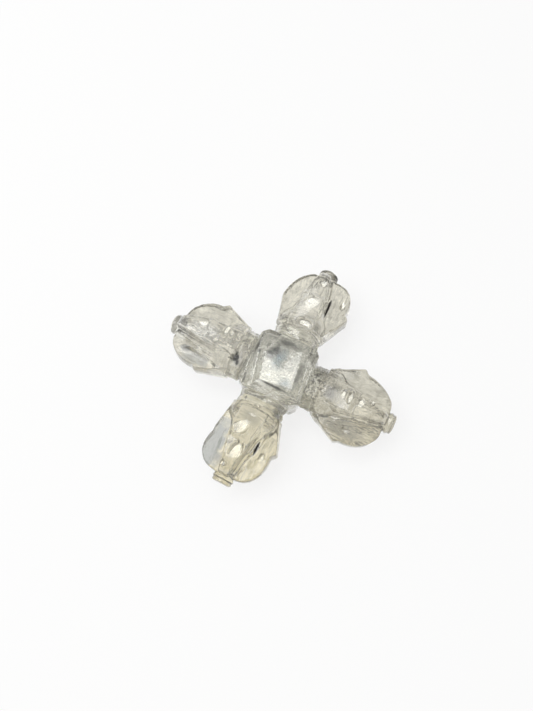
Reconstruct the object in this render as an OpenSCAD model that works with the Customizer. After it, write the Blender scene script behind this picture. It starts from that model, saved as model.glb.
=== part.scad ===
// Crossed dorje in clear rock crystal: a square hub with a vajra head on each of its four sides.
// Millimetres. +Z is up, the arms lie along X and Y, and the part rests on Z = 0.
// The lists with four values run round the cross: east, north, west, south.

/* [Hub] */
// Width of the square hub across its side walls
hub_width = 14; // [13:0.1:18]
// Height of the hub from its lower table to its upper table
hub_height = 12; // [11:0.1:14]
// Height of the hub's upright walls between the two bevels
wall_height = 9; // [7:0.1:10.5]
// Width of the square table on the top and on the underside of the hub
table_width = 8; // [6:0.1:10]
// Turn of the tables against the arms, in degrees
table_turn = 8; // [0:1:12]
// Width of the blunted upright corners of the hub
hub_corner = 1.2; // [0.4:0.1:2]

/* [Neck rings] */
// Length of each neck ring along its arm
neck_length = 3; // [2:0.1:5]
// Radius of each arm's neck ring at its two ends
neck_radius = [5.5, 5.7, 6.3, 5.8]; // [5.2:0.1:6.6]
// Depth of the hollow waist of a neck ring
neck_waist = 0.3; // [0.1:0.05:0.8]
// Drop of the ring's ground flats below the edge of the hub wall
neck_drop = 0.3; // [0.2:0.05:1]

/* [Lotus bases] */
// Length of each lotus base along its arm
base_length = 5; // [4:0.1:7]
// Swell of the rounded calyx between the prong roots
calyx_swell = 0.9; // [0.2:0.1:1.2]
// Depth of the calyx below the neck ring's edge and below the groove floors between the prongs
calyx_sink = 0.2; // [0.1:0.05:0.4]

/* [Prongs] */
// Length of the prongs from the lotus base to the finial
prong_length = 10.8; // [9:0.1:14]
// Reach of the upper and the lower prongs from the arm's axis
crest_reach = 7.6; // [7:0.1:9]
// Reach of the left prong of each arm from the arm's axis
left_reach = [8.6, 7.8, 8.3, 8.3]; // [7:0.1:10]
// Reach of the right prong of each arm from the arm's axis
right_reach = [9.1, 9, 9.3, 7]; // [7:0.1:10]
// Turn of each head about its own arm, in degrees
head_roll = [8, 0, 2, 0]; // [-12:1:12]
// Distance from a prong's root to the crest of its first lobe
lobe_at = 2.3; // [1.5:0.1:3.5]
// Depth of the notch between the two lobes of the upper and the lower prongs
crest_notch = 0.85; // [0.4:0.05:1.4]
// Depth of the notch of each arm's left prong
left_notch = [0.9, 0.1, 0.6, 0.9]; // [0.1:0.1:1.4]
// Depth of the notch of each arm's right prong
right_notch = [0.5, 0.9, 0.9, 0.1]; // [0.1:0.1:1.4]
// Length of the step down into the notch
notch_run = 1.3; // [0.8:0.1:2]
// Swell of the second lobe of each arm's left prong beyond a plain oval, or its hollow where it is negative
left_swell = [-0.4, -0.5, 0, 0.2]; // [-0.6:0.1:1.2]
// Swell of the second lobe of each arm's right prong beyond a plain oval
right_swell = [0.1, 0.5, 0.2, 1.1]; // [-0.6:0.1:1.2]
// Thickness of a prong at the crest of its first lobe
crest_width = 4.8; // [3.6:0.1:6]
// Radius of the closed head where the finial sits
tip_radius = 2.6; // [2.4:0.1:3.2]
// Depth of the flat ground on the lower prongs, which the part rests on
rest_flat = 0.4; // [0.2:0.05:0.6]

/* [Core] */
// Width of the square core at the lotus base
core_root = 7.2; // [6:0.1:8]
// Width of the square core at the finial
core_tip = 3; // [2.4:0.1:3.3]
// Width of the groove floor between two prongs, cut on the core's corner
groove_width = 0.6; // [0.3:0.05:0.9]

/* [Slits] */
// Distance from a prong's root to the middle of the slit behind it
slit_at = 3.2; // [2.4:0.1:5]
// Length of the slit along the arm
slit_length = 4.2; // [2:0.1:4.6]
// Width of the slit between prong and core
slit_gap = 0.45; // [0.3:0.05:0.8]

/* [Finials] */
// Length of each finial along its arm
finial_length = 1.9; // [1.6:0.1:4]
// Radius of a finial at its middle
finial_radius = 2.4; // [2:0.1:3]
// Share of its radius that a finial loses towards its ends
finial_taper = 0.3; // [0.1:0.05:0.5]

/* [Hidden] */
ARMS = ["east", "north", "west", "south"];
SIDES = ["top", "right", "bottom", "left"];
MEMBERS = concat(["neck", "base", "core", "finial"], [for (s = SIDES) str(s, "_prong")]);

// Only these prongs have a slit behind them, as [arm, side]
SLITS = [["north", "right"], ["south", "left"]];

$fn = 72;
NOTCH_STEPS = 5;
LOBE_STEPS = 9;
ROUND_STEPS = 8;
// Longer than any piece, for cutting shapes that have to reach past it
past = 4 * hub_width;

// Stations along an arm, from the centre of the cross
neck_at = hub_width / 2;
base_at = neck_at + neck_length;
root_at = base_at + base_length;
crest_at = root_at + lobe_at;
notch_at = crest_at + notch_run;
tip_at = root_at + prong_length;

// Height of the arms' axes over the surface that the part rests on
axis_height = max(crest_reach - rest_flat, hub_height / 2);
core_half_root = core_root / 2;
core_half_tip = core_tip / 2;
// Half width of a prong where it sits on the core, at its root and at the tip
seat_half_root = core_half_root - groove_width / sqrt(2);
seat_half_tip = core_half_tip - groove_width / sqrt(2);
// Radius of the calyx where the grooves between the prongs run out
calyx_end = core_half_root * sqrt(2) - groove_width / 2 - calyx_sink;

// Half width of the core at a station between the lotus base and the finial
function core_half(at) =
    core_half_root + (core_half_tip - core_half_root) * (at - root_at) / prong_length;

// Picks a size of the prong on one side of one arm from the right, the left and the upright prongs' sizes
function of_prong(arm, side, rights, lefts, upright) =
    side == 1 ? rights[arm] : side == 3 ? lefts[arm] : upright;

// Reach of the prong on one side of one arm
function reach(arm, side) = of_prong(arm, side, right_reach, left_reach, crest_reach);

// Half thickness of a prong at a distance from the arm's axis: it thins towards its crest
function prong_half(from_axis, crest) =
    seat_half_root
    + (crest_width / 2 - seat_half_root) * (from_axis - core_half_root) / (crest - core_half_root);

// Outline of a prong as [radius, station]: flare, step down into the notch, second lobe to the tip
function prong_outline(arm, side) =
    let (crest = reach(arm, side))
    let (notch = of_prong(arm, side, right_notch, left_notch, crest_notch))
    let (swell = of_prong(arm, side, right_swell, left_swell, 0))
    concat(
        [[0, base_at], [neck_radius[arm], base_at], [crest, crest_at]],
        [for (i = [1:NOTCH_STEPS])
            let (t = i / NOTCH_STEPS)
            [crest - notch * (1 - cos(180 * t)) / 2, crest_at + notch_run * t]],
        [for (i = [1:LOBE_STEPS])
            let (a = 90 * i / LOBE_STEPS)
            [tip_radius + (crest - notch - tip_radius) * cos(a) + swell * sin(2 * a),
             notch_at + (tip_at - notch_at) * sin(a)]],
        [[0, tip_at]]);

// Puts a shape modelled along +Z, with its upper side towards +X, on one arm
module on_arm(arm) {
    translate([0, 0, axis_height])
        rotate([0, 0, 90 * arm])
            rotate([0, 90, 0])
                rotate([0, 0, 180])
                    children();
}

// Turns a head member about its arm: side 0 is up, 1 right, 2 down and 3 left, looking outwards
module on_side(arm, side = 0) {
    on_arm(arm)
        rotate([0, 0, 90 * side + head_roll[arm]])
            children();
}

// Extrudes an outline of [across, along] points up and down through a member
module plan_prism(points) {
    rotate([90, 0, 90])
        linear_extrude(past, center = true)
            polygon(points);
}

// Extrudes an outline of [up, along] points from side to side through a member
module side_prism(points) {
    rotate([90, 0, 0])
        linear_extrude(past, center = true)
            polygon(points);
}

// Everything below the surface that the part rests on
module below_rest() {
    translate([-past, -past, -past])
        cube([2 * past, 2 * past, past]);
}

// Thinning slab that one prong is cut from, between two stations
module prong_slab(crest, from, to) {
    inner = prong_half(0, crest);
    outer = prong_half(crest + 1, crest);
    translate([0, 0, from])
        linear_extrude(to - from)
            polygon([[0, -inner], [crest + 1, -outer], [crest + 1, outer], [0, inner]]);
}

// Outline across the hub: a table above and below, with a bevel falling from each edge
function bevel_outline() =
    let (fall = (hub_height - wall_height) / (hub_width - table_width))
    let (edge = table_width / 2 + hub_height / 2 / fall)
    [[-table_width / 2, hub_height / 2], [table_width / 2, hub_height / 2], [edge, 0],
     [table_width / 2, -hub_height / 2], [-table_width / 2, -hub_height / 2], [-edge, 0]];

// Bar with the hub's bevel outline, along one pair of the tables' edges
module bevel_bar(turn) {
    rotate([90, 0, table_turn + turn])
        linear_extrude(past, center = true)
            polygon(bevel_outline());
}

module hub() {
    half = hub_width / 2;
    blunt = half - hub_corner;
    color("gainsboro")
        translate([0, 0, axis_height])
            intersection() {
                linear_extrude(hub_height, center = true)
                    polygon([[half, -blunt], [half, blunt], [blunt, half], [-blunt, half],
                             [-half, blunt], [-half, -blunt], [-blunt, -half], [blunt, -half]]);
                bevel_bar(0);
                bevel_bar(90);
            }
}

// Waisted ring on the hub's wall, ground flat above and below
module neck(arm) {
    flats = wall_height - 2 * neck_drop;
    color("lightgray")
        on_arm(arm)
            intersection() {
                rotate_extrude()
                    polygon(concat(
                        [[0, neck_at]],
                        [for (i = [0:ROUND_STEPS])
                            let (t = i / ROUND_STEPS)
                            [neck_radius[arm] - neck_waist * sin(180 * t), neck_at + neck_length * t]],
                        [[0, base_at]]));
                translate([-flats / 2, -past / 2, 0])
                    cube([flats, past, past]);
            }
}

// Flared lotus base: a rounded calyx with the roots of the four prongs
module base(arm) {
    calyx_start = neck_radius[arm] - calyx_sink;
    color("whitesmoke")
        difference() {
            on_side(arm) {
                rotate_extrude()
                    polygon(concat(
                        [[0, base_at]],
                        [for (i = [0:ROUND_STEPS])
                            let (t = i / ROUND_STEPS)
                            [calyx_start + (calyx_end - calyx_start) * t + calyx_swell * sin(180 * t),
                             base_at + base_length * t]],
                        [[0, root_at]]));
                for (side = [0:3])
                    rotate([0, 0, 90 * side])
                        intersection() {
                            rotate_extrude()
                                polygon(prong_outline(arm, side));
                            prong_slab(reach(arm, side), base_at, root_at);
                        }
            }
            below_rest();
        }
}

// Outline of a head member that tapers from its root to the tip, as [across, along] points
function taper_outline(half_root, half_tip) =
    [[-half_root, root_at], [half_root, root_at], [half_tip, tip_at], [-half_tip, tip_at]];

// Square bar that tapers to the finial
module taper_bar(half_root, half_tip) {
    intersection() {
        plan_prism(taper_outline(half_root, half_tip));
        side_prism(taper_outline(half_root, half_tip));
    }
}

// Square centre prong, with the groove floors cut along its four corners
module core(arm) {
    color("gainsboro")
        on_side(arm)
            intersection() {
                taper_bar(core_half_root, core_half_tip);
                rotate([0, 0, 45])
                    taper_bar(core_half_root * sqrt(2) - groove_width / 2,
                              core_half_tip * sqrt(2) - groove_width / 2);
            }
}

// Outer prong on one side of the core, seated on it and on the lotus base
module prong(arm, side) {
    crest = reach(arm, side);
    color("ivory")
        difference() {
            on_side(arm, side)
                difference() {
                    intersection() {
                        rotate_extrude()
                            polygon(prong_outline(arm, side));
                        prong_slab(crest, root_at, tip_at);
                        plan_prism(taper_outline(seat_half_root, seat_half_tip));
                        side_prism([[core_half_root, root_at], [past, root_at],
                                    [past, tip_at], [core_half_tip, tip_at]]);
                    }
                    if (len([for (s = SLITS) if (s == [ARMS[arm], SIDES[side]]) s]) > 0)
                        slit();
                }
            below_rest();
        }
}

// Saw cut between a prong and the core, open above and below
module slit() {
    from = root_at + slit_at - slit_length / 2;
    to = from + slit_length;
    side_prism([[0, from], [core_half(from) + slit_gap, from],
                [core_half(to) + slit_gap, to], [0, to]]);
}

// Small barrel at the end of the arm
module finial(arm) {
    color("gainsboro")
        on_arm(arm)
            rotate_extrude()
                polygon(concat(
                    [[0, tip_at]],
                    [for (i = [0:ROUND_STEPS])
                        let (t = i / ROUND_STEPS)
                        [finial_radius * (1 - finial_taper * pow(abs(2 * t - 1), 3)),
                         tip_at + finial_length * t]],
                    [[0, tip_at + finial_length]]));
}

hub();
for (arm = [0:3]) {
    neck(arm);
    base(arm);
    core(arm);
    finial(arm);
    for (side = [0:3])
        prong(arm, side);
}
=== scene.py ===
"""Crossed dorje carved from one clear rock crystal, dressed over its solids.

The solids are taken together as one blank. The blank is worn and tool-marked as a whole, and is then
parted along the carver's cuts again, so that each member is a closed piece of its own while the clear
stone runs on through the cuts unbroken.
"""

import logging
import math
from dataclasses import dataclass
from dataclasses import field
from enum import Enum

import bmesh
import bpy
import numpy as np
from bmesh.types import BMEdge
from bmesh.types import BMFace
from bmesh.types import BMesh
from bpy.types import Material
from bpy.types import Mesh
from bpy.types import Node
from bpy.types import NodeSocket
from bpy.types import NodeTree
from bpy.types import Object
from mathutils import Matrix
from mathutils import Vector
from mathutils import noise


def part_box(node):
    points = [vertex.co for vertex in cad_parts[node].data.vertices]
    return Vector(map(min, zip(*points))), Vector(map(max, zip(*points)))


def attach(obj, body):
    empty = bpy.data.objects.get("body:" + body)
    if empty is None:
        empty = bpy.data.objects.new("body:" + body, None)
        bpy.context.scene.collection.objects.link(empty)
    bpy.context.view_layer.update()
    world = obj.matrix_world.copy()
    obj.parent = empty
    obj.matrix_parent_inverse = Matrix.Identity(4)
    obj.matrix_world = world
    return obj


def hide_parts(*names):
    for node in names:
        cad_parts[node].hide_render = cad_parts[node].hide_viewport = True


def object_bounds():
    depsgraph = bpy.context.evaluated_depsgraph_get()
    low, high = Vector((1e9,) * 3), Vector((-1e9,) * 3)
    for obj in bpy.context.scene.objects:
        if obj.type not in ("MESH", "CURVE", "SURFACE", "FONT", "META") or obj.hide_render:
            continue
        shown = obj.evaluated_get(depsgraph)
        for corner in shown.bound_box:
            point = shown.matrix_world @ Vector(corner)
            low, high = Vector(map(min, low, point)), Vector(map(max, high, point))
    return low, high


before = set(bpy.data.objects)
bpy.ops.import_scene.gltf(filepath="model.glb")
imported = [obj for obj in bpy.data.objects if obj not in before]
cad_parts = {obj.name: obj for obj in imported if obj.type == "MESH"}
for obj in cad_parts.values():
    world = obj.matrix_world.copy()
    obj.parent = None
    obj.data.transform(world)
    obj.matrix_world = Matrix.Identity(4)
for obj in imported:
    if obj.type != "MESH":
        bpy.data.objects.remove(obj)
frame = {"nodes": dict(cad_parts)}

CAD_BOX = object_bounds()
BODY = "root"
# Metres in a millimetre: the stone is carved in millimetres and set in the frame in metres
MM = 0.001
# Millimetres within which a point counts as on a cut, and by which a cut may move
SNAP = 0.002
HAIRS = (0.008, -0.008, 0.016, -0.016, 0.04, -0.04, 0.06)
# Least radius and least length that are divided by
LEAST_RADIUS = 1e-6
LEAST_LENGTH = 1e-9
# Cosine above which a face counts as facing a direction
FACING = 0.9
# Values that most of a noise texture lies between
NOISE_SPAN = (0.25, 0.75)
UP = Vector((0.0, 0.0, 1.0))
# Point attributes of the stone: its normals before it is sawn, and how hollow it is
NORMAL = "carved_normal"
HOLLOWNESS = "hollowness"
# Bearing that the yellow stain grows towards
STAIN_BEARING = (0.25, -0.97, 0.0)
LOG = logging.getLogger("crossed_dorje")
Span = tuple[float, float]
Triple = tuple[float, float, float]


class Bearing(Enum):
    """The four arms, counted in quarter turns from east."""

    EAST = 0
    NORTH = 1
    WEST = 2
    SOUTH = 3


class Side(Enum):
    """The four prongs of a head, counted in quarter turns from the top, looking outwards."""

    TOP = 0
    RIGHT = 1
    BOTTOM = 2
    LEFT = 3


class Face(Enum):
    """The two kinds of face on a member: its carved outside and its joints inside the stone."""

    CARVED = 0
    JOINT = 1


class Lay(Enum):
    """Which way the tool marks run: along an arm or round it."""

    ALONG = 0
    ROUND = 1


@dataclass(frozen=True)
class Cut:
    """A sawn plane. What its normal points to falls away."""

    point: Vector
    normal: Vector

    def turned(self) -> "Cut":
        """Returns the same plane with its other side falling away."""
        return Cut(self.point, -self.normal)


def shader_tree(name: str) -> tuple[Material, NodeTree, Node]:
    """Starts a material with nothing but its output.

    Args:
        name: Name of the material.

    Returns:
        The material, its node tree and its output node.
    """
    material = bpy.data.materials.new(name)
    material.use_nodes = True
    tree = material.node_tree
    tree.nodes.clear()
    output = tree.nodes.new("ShaderNodeOutputMaterial")
    return material, tree, output


def noise_texture(tree: NodeTree, place: Node, size: float, detail: float) -> Node:
    """Adds a noise texture with features of a given size.

    Args:
        tree: Node tree to add to.
        place: Texture coordinate node.
        size: Size of a feature in millimetres.
        detail: Number of finer layers.

    Returns:
        The noise node.
    """
    texture = tree.nodes.new("ShaderNodeTexNoise")
    texture.inputs["Scale"].default_value = 1.0 / (size * MM)
    texture.inputs["Detail"].default_value = detail
    tree.links.new(place.outputs["Object"], texture.inputs["Vector"])
    return texture


def ramp(tree: NodeTree, value: NodeSocket, span: Span, result: Span) -> NodeSocket:
    """Maps one span of values to another, and holds the ends.

    Args:
        tree: Node tree to add to.
        value: Socket that gives the value.
        span: Values to map from.
        result: Values to map to.

    Returns:
        The socket of the mapped value.
    """
    node = tree.nodes.new("ShaderNodeMapRange")
    node.inputs["From Min"].default_value, node.inputs["From Max"].default_value = span
    node.inputs["To Min"].default_value, node.inputs["To Max"].default_value = result
    tree.links.new(value, node.inputs["Value"])
    return node.outputs["Result"]


def blended(tree: NodeTree, share: NodeSocket, first: Triple | NodeSocket, second: Triple) -> NodeSocket:
    """Blends one colour into another.

    Args:
        tree: Node tree to add to.
        share: Socket that gives the share of the second colour.
        first: First colour, or the socket that gives it.
        second: Second colour.

    Returns:
        The socket of the blended colour.
    """
    node = tree.nodes.new("ShaderNodeMix")
    node.data_type = "RGBA"
    if isinstance(first, NodeSocket):
        tree.links.new(first, node.inputs["A"])
    else:
        node.inputs["A"].default_value = (*first, 1.0)
    node.inputs["B"].default_value = (*second, 1.0)
    tree.links.new(share, node.inputs["Factor"])
    return node.outputs["Result"]


def math_node(tree: NodeTree, operation: str, *values: NodeSocket) -> NodeSocket:
    """Adds a calculation with one or two values.

    Args:
        tree: Node tree to add to.
        operation: Name of the calculation.
        values: Sockets that give the values.

    Returns:
        The socket of the result.
    """
    node = tree.nodes.new("ShaderNodeMath")
    node.operation = operation
    for value, socket in zip(values, node.inputs):
        tree.links.new(value, socket)
    return node.outputs["Value"]


def vector_node(
    tree: NodeTree, operation: str, first: NodeSocket, second: Triple | NodeSocket | None = None
) -> Node:
    """Adds a calculation with one or two vectors.

    Args:
        tree: Node tree to add to.
        operation: Name of the calculation.
        first: Socket that gives the first vector.
        second: Second vector or the socket that gives it, if there is one.

    Returns:
        The node.
    """
    node = tree.nodes.new("ShaderNodeVectorMath")
    node.operation = operation
    tree.links.new(first, node.inputs[0])
    if isinstance(second, NodeSocket):
        tree.links.new(second, node.inputs[1])
    elif second is not None:
        node.inputs[1].default_value = second
    return node


@dataclass(frozen=True)
class TintSpot:
    """A spot that tints the stone: painted shade, a painted highlight, or the zone of the pits. It has its
    place and its reach along each axis in millimetres.

    It is at its full strength up to one share of its reach, and gone from another one on. Its edge is ragged
    by a share of the reach, in a grain of a size in millimetres.
    """

    place: Triple
    reach: Triple
    tint: Triple
    full: float = 0.65
    gone: float = 1.1
    ragged: float = 0.3
    ragged_size: float = 1.2

    def share(self, tree: NodeTree, place: Node) -> NodeSocket:
        """Works out how strong the spot is.

        Args:
            tree: Node tree to add to.
            place: Texture coordinate node.

        Returns:
            The socket that runs from 1 in the middle to 0 outside.
        """
        middle, size = (tuple(value * MM for value in values) for values in (self.place, self.reach))
        offset = vector_node(tree, "SUBTRACT", place.outputs["Object"], middle)
        scaled = vector_node(tree, "DIVIDE", offset.outputs["Vector"], size)
        distance = vector_node(tree, "LENGTH", scaled.outputs["Vector"])
        grain = noise_texture(tree, place, self.ragged_size, detail=4.0)
        edge = ramp(tree, grain.outputs["Fac"], NOISE_SPAN, (-self.ragged, self.ragged))
        spread = math_node(tree, "ADD", distance.outputs["Value"], edge)
        return ramp(tree, spread, (self.full, self.gone), (1.0, 0.0))


@dataclass(frozen=True)
class CrystalFinish:
    """Clear, slightly icy stone with a hand polish.

    The tint is the colour of light that has crossed the stone, which turns to the cloud tint in soft patches,
    to the stain towards the south, to the scratch tint in fine lines, to the hollow shade tint in hollows,
    which is painted shade, to the tints of the tinted spots at their places, which are painted shade, painted
    highlights and dirt, and to the pit tint in specks, everywhere or in one zone. The roughness runs between
    its two values in patches. The ripple is the height of the polishing waves, and the streaks are fine tool
    marks that run with the lay and hold dirt. A span gives the values between which a noise, or the
    hollowness, takes effect, and a share gives how far. Sizes are in millimetres.
    """

    name: str
    rough_low: float
    rough_high: float
    ripple: float
    lay: Lay
    tint: Triple = (0.95, 0.92, 0.8)
    cloud_tint: Triple = (0.53, 0.51, 0.435)
    stain_tint: Triple = (0.92, 0.82, 0.53)
    scratch_tint: Triple = (0.26, 0.25, 0.2)
    grime_tint: Triple = (0.1, 0.09, 0.07)
    pit_tint: Triple = (0.03, 0.027, 0.02)
    pits: float = 0.0
    pit_size: float = 0.5
    pit_zone: TintSpot | None = None
    tinted_spots: tuple[TintSpot, ...] = ()
    clear: float = 0.94
    refraction: float = 1.544
    glaze: float = 0.75
    glaze_rough: float = 0.04
    cloud_size: float = 2.6
    cloud_span: Span = (0.35, 0.68)
    polish_span: Span = (0.35, 0.7)
    stain_reach: float = 24.0
    stain_share: float = 0.72
    ripple_size: float = 0.9
    streak: float = 0.05
    streak_width: float = 0.4
    streak_length: float = 3.0
    scratch_span: Span = (0.52, 0.72)
    scratch_share: float = 0.75
    grime_span: Span = (0.1, 1.0)
    grime_share: float = 0.8
    pit_span: Span = (0.5, 0.58)

    def material(self) -> Material:
        """Returns the finish as a node material."""
        material, tree, output = shader_tree(self.name)
        shader = tree.nodes.new("ShaderNodeBsdfPrincipled")
        shader.inputs["Transmission Weight"].default_value = self.clear
        shader.inputs["IOR"].default_value = self.refraction
        shader.inputs["Coat Weight"].default_value = self.glaze
        shader.inputs["Coat Roughness"].default_value = self.glaze_rough
        place = tree.nodes.new("ShaderNodeTexCoord")
        lines = self.streaks(tree, place)
        tree.links.new(self.colour(tree, place, lines), shader.inputs["Base Color"])
        polish = noise_texture(tree, place, self.cloud_size / 2.0, detail=3.0).outputs["Fac"]
        rough = ramp(tree, polish, self.polish_span, (self.rough_low, self.rough_high))
        tree.links.new(rough, shader.inputs["Roughness"])
        waves = noise_texture(tree, place, self.ripple_size, detail=2.0).outputs["Fac"]
        marks = self.relief(tree, waves, self.ripple)
        streaks = self.relief(tree, lines, self.streak)
        tree.links.new(marks.outputs["Normal"], streaks.inputs["Normal"])
        tree.links.new(streaks.outputs["Normal"], shader.inputs["Normal"])
        tree.links.new(shader.outputs["BSDF"], output.inputs["Surface"])
        return material

    @staticmethod
    def relief(tree: NodeTree, height: NodeSocket, depth: float) -> Node:
        """Adds a bump.

        Args:
            tree: Node tree to add to.
            height: Socket that gives the height from 0 to 1.
            depth: Full depth of the relief in millimetres.

        Returns:
            The bump node.
        """
        bump = tree.nodes.new("ShaderNodeBump")
        bump.inputs["Strength"].default_value = 1.0
        bump.inputs["Distance"].default_value = depth * MM
        tree.links.new(height, bump.inputs["Height"])
        return bump

    def streaks(self, tree: NodeTree, place: Node) -> NodeSocket:
        """Makes noise that is drawn out with the lay, on the east-west and the north-south arms alike.

        Args:
            tree: Node tree to add to.
            place: Texture coordinate node.

        Returns:
            The socket of the noise.
        """
        fine = 1.0 / (self.streak_width * MM)
        drawn = 1.0 / (self.streak_length * MM)
        along, beside = (drawn, fine) if self.lay is Lay.ALONG else (fine, drawn)
        parts = tree.nodes.new("ShaderNodeSeparateXYZ")
        tree.links.new(place.outputs["Object"], parts.inputs["Vector"])
        east_west = math_node(
            tree, "GREATER_THAN", *(math_node(tree, "ABSOLUTE", parts.outputs[axis]) for axis in ("X", "Y"))
        )
        chosen = tree.nodes.new("ShaderNodeMix")
        chosen.data_type = "VECTOR"
        chosen.inputs["A"].default_value = (beside, along, beside)
        chosen.inputs["B"].default_value = (along, beside, beside)
        tree.links.new(east_west, chosen.inputs["Factor"])
        drawn_out = vector_node(tree, "MULTIPLY", place.outputs["Object"], chosen.outputs["Result"])
        texture = tree.nodes.new("ShaderNodeTexNoise")
        texture.inputs["Scale"].default_value = 1.0
        texture.inputs["Detail"].default_value = 3.0
        texture.inputs["Distortion"].default_value = 0.5
        tree.links.new(drawn_out.outputs["Vector"], texture.inputs["Vector"])
        return texture.outputs["Fac"]

    def colour(self, tree: NodeTree, place: Node, lines: NodeSocket) -> NodeSocket:
        """Mixes the stone's colour.

        Args:
            tree: Node tree to add to.
            place: Texture coordinate node.
            lines: Socket of the tool marks' noise.

        Returns:
            The socket of the colour.
        """
        clouds = noise_texture(tree, place, self.cloud_size, detail=5.0).outputs["Fac"]
        colour = blended(tree, ramp(tree, clouds, self.cloud_span, (0.0, 1.0)), self.tint, self.cloud_tint)
        towards = vector_node(tree, "DOT_PRODUCT", place.outputs["Object"], STAIN_BEARING).outputs["Value"]
        hollow = tree.nodes.new("ShaderNodeAttribute")
        hollow.attribute_name = HOLLOWNESS
        # The stain, the dirt in the tool marks, and painted shade in the hollows, each laid over the colour
        # so far
        for value, span, share, tint in (
            (towards, (0.0, self.stain_reach * MM), self.stain_share, self.stain_tint),
            (lines, self.scratch_span, self.scratch_share, self.scratch_tint),
            (hollow.outputs["Fac"], self.grime_span, self.grime_share, self.grime_tint),
        ):
            colour = blended(tree, ramp(tree, value, span, (0.0, share)), colour, tint)
        # Spots of painted shade, painted highlights and dirt, each in its own tint
        for tinted_spot in self.tinted_spots:
            colour = blended(tree, tinted_spot.share(tree, place), colour, tinted_spot.tint)
        if self.pits > 0.0:
            colour = blended(tree, self.specks(tree, place), colour, self.pit_tint)
        return colour

    def specks(self, tree: NodeTree, place: Node) -> NodeSocket:
        """Scatters the pits.

        Args:
            tree: Node tree to add to.
            place: Texture coordinate node.

        Returns:
            The socket that is the pits' strength.
        """
        texture = noise_texture(tree, place, self.pit_size, detail=3.0).outputs["Fac"]
        specks = ramp(tree, texture, self.pit_span, (0.0, self.pits))
        if self.pit_zone is None:
            return specks
        return math_node(tree, "MULTIPLY", specks, self.pit_zone.share(tree, place))


@dataclass(frozen=True)
class JointFinish:
    """A face inside the stone, which light crosses as if it weren't there."""

    name: str = "unbroken_stone"

    def material(self) -> Material:
        """Returns the finish as a node material."""
        material, tree, output = shader_tree(self.name)
        shader = tree.nodes.new("ShaderNodeBsdfTransparent")
        tree.links.new(shader.outputs["BSDF"], output.inputs["Surface"])
        return material


@dataclass(frozen=True)
class GrimeAndShadeFinish:
    """Near-black matter: painted shade in a saw cut, and old polishing dirt packed in a pit. The size of its
    dust is in millimetres.
    """

    name: str = "packed_grime"
    colour: Triple = (0.012, 0.011, 0.01)
    dusty: Triple = (0.05, 0.045, 0.04)
    dust_size: float = 0.4

    def material(self) -> Material:
        """Returns the finish as a node material."""
        material, tree, output = shader_tree(self.name)
        shader = tree.nodes.new("ShaderNodeBsdfPrincipled")
        shader.inputs["Specular IOR Level"].default_value = 0.2
        place = tree.nodes.new("ShaderNodeTexCoord")
        dust = noise_texture(tree, place, self.dust_size, detail=3.0).outputs["Fac"]
        tree.links.new(blended(tree, dust, self.colour, self.dusty), shader.inputs["Base Color"])
        tree.links.new(ramp(tree, dust, (0.3, 0.7), (0.7, 1.0)), shader.inputs["Roughness"])
        tree.links.new(shader.outputs["BSDF"], output.inputs["Surface"])
        return material


@dataclass(frozen=True)
class ArmFrame:
    """Directions of an arm: out along it, to its right and up, from a point on its axis in millimetres."""

    out: np.ndarray
    right: np.ndarray
    up: np.ndarray
    centre: np.ndarray

    def local(self, points: np.ndarray) -> np.ndarray:
        """Returns points as distances out, right and up."""
        return (points - self.centre) @ np.stack([self.out, self.right, self.up]).T

    def world(self, local: np.ndarray) -> np.ndarray:
        """Returns points given as distances out, right and up in the frame."""
        return local @ np.stack([self.out, self.right, self.up]) + self.centre


def smooth_step(value: np.ndarray, low: float, high: float) -> np.ndarray:
    """Runs smoothly from 0 at the low value to 1 at the high value.

    Args:
        value: Values to map.
        low: Value that gives 0.
        high: Value that gives 1.

    Returns:
        The mapped values.
    """
    t = np.clip((value - low) / (high - low), 0.0, 1.0)
    return t * t * (3.0 - 2.0 * t)


def within(value: np.ndarray, start: float, end: float, soft: float) -> np.ndarray:
    """Marks the values in a stretch, with soft ends inside it.

    Args:
        value: Values to mark.
        start: Value that the stretch starts at.
        end: Value that it ends at.
        soft: Length of each soft end.

    Returns:
        The marks, from 0 outside to 1 inside.
    """
    return smooth_step(value, start, start + soft) * smooth_step(-value, -end, soft - end)


def drawn_in(local: np.ndarray, depth: np.ndarray) -> np.ndarray:
    """Moves points towards an arm's axis.

    Args:
        local: Points as distances out, right and up.
        depth: How far each point moves.

    Returns:
        The moved points.
    """
    radius = np.maximum(np.hypot(local[:, 1], local[:, 2]), LEAST_RADIUS)
    moved = local.copy()
    moved[:, 1:] *= (1.0 - depth / radius)[:, None]
    return moved


@dataclass(frozen=True)
class Hollow:
    """A shallow dish ground into the upper side of a prong.

    The place is out and right in millimetres, and so are the half length, the half width and the depth.
    """

    place: Span
    half_length: float
    half_width: float
    depth: float

    def carve(self, local: np.ndarray) -> np.ndarray:
        """Grinds the dish.

        Args:
            local: Points as distances out, right and up.

        Returns:
            The ground points.
        """
        along = (local[:, 0] - self.place[0]) / self.half_length
        across = (local[:, 1] - self.place[1]) / self.half_width
        dish = np.clip(1.0 - along ** 2 - across ** 2, 0.0, 1.0)
        carved = local.copy()
        carved[:, 2] -= self.depth * dish * smooth_step(local[:, 2], 0.0, 1.0)
        return carved


@dataclass(frozen=True)
class Crown:
    """A flat of the neck ring that is rubbed round from side to side.

    It runs between two stations and falls by its depth at its half width, in millimetres. The ring keeps at
    least half of its thickness.
    """

    start: float
    end: float
    half_width: float
    depth: float

    def carve(self, local: np.ndarray) -> np.ndarray:
        """Rubs the flats above and below.

        Args:
            local: Points as distances out, right and up.

        Returns:
            The rubbed points.
        """
        near = within(local[:, 0], self.start, self.end, soft=0.5)
        fall = self.depth * near * (local[:, 1] / self.half_width) ** 2
        carved = local.copy()
        carved[:, 2] -= np.sign(local[:, 2]) * np.minimum(fall, 0.5 * np.abs(local[:, 2]))
        return carved


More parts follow.
